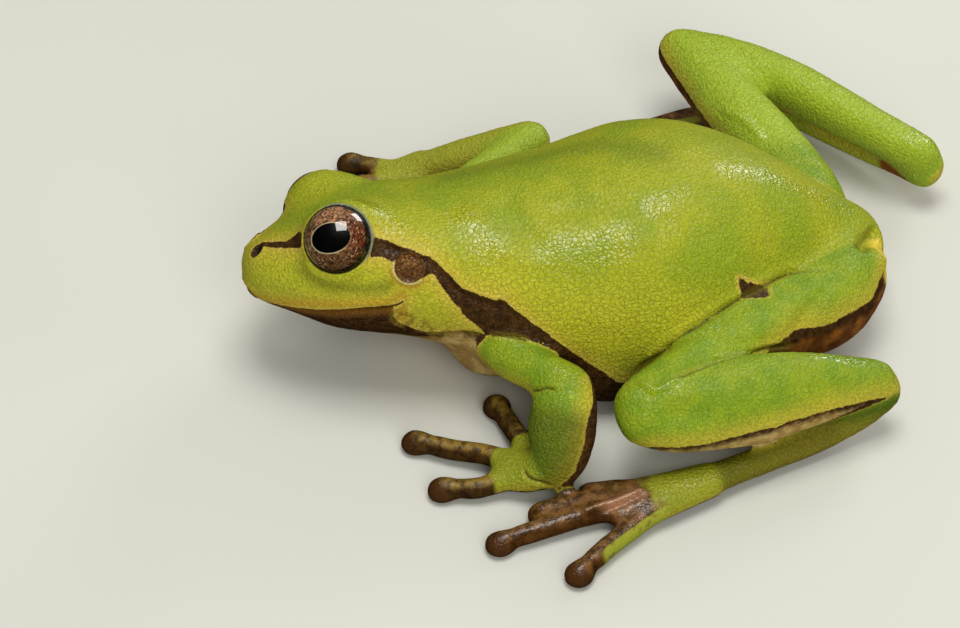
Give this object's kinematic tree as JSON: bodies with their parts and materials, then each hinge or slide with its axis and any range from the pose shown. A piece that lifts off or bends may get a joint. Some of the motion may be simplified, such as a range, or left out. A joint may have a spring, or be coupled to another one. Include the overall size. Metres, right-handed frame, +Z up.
{
  "type": "tree frog",
  "caption": "Life-size tree frog at rest with its legs folded and its head tilted, as a museum model.",
  "frame": {"origin": "middle of the bounding box, on the ground plane", "axes": "+Z up; the frog faces -Y, and its left side is +X"},
  "size_m": [0.0452, 0.048, 0.0139],
  "materials": {
    "skin": "moist, finely granular skin, yellow-green with a gold-edged brown stripe",
    "digits": "moist brown skin with gold mottling",
    "eye": "wet, copper iris with a black pupil under a clear surface"
  },
  "bodies": {
    "root": {"head": "skin", "trunk": "skin", "upper_arm_left": "skin", "upper_arm_right": "skin", "forearm_left": "skin", "forearm_right": "skin", "thigh_left": "skin", "thigh_right": "skin", "shank_left": "skin", "shank_right": "skin", "tarsus_left": "skin", "tarsus_right": "skin", "hand_left": "digits", "hand_right": "digits", "foot_left": "digits", "foot_right": "digits", "eye_left": "eye", "eye_right": "eye"}
  },
  "joints": []
}
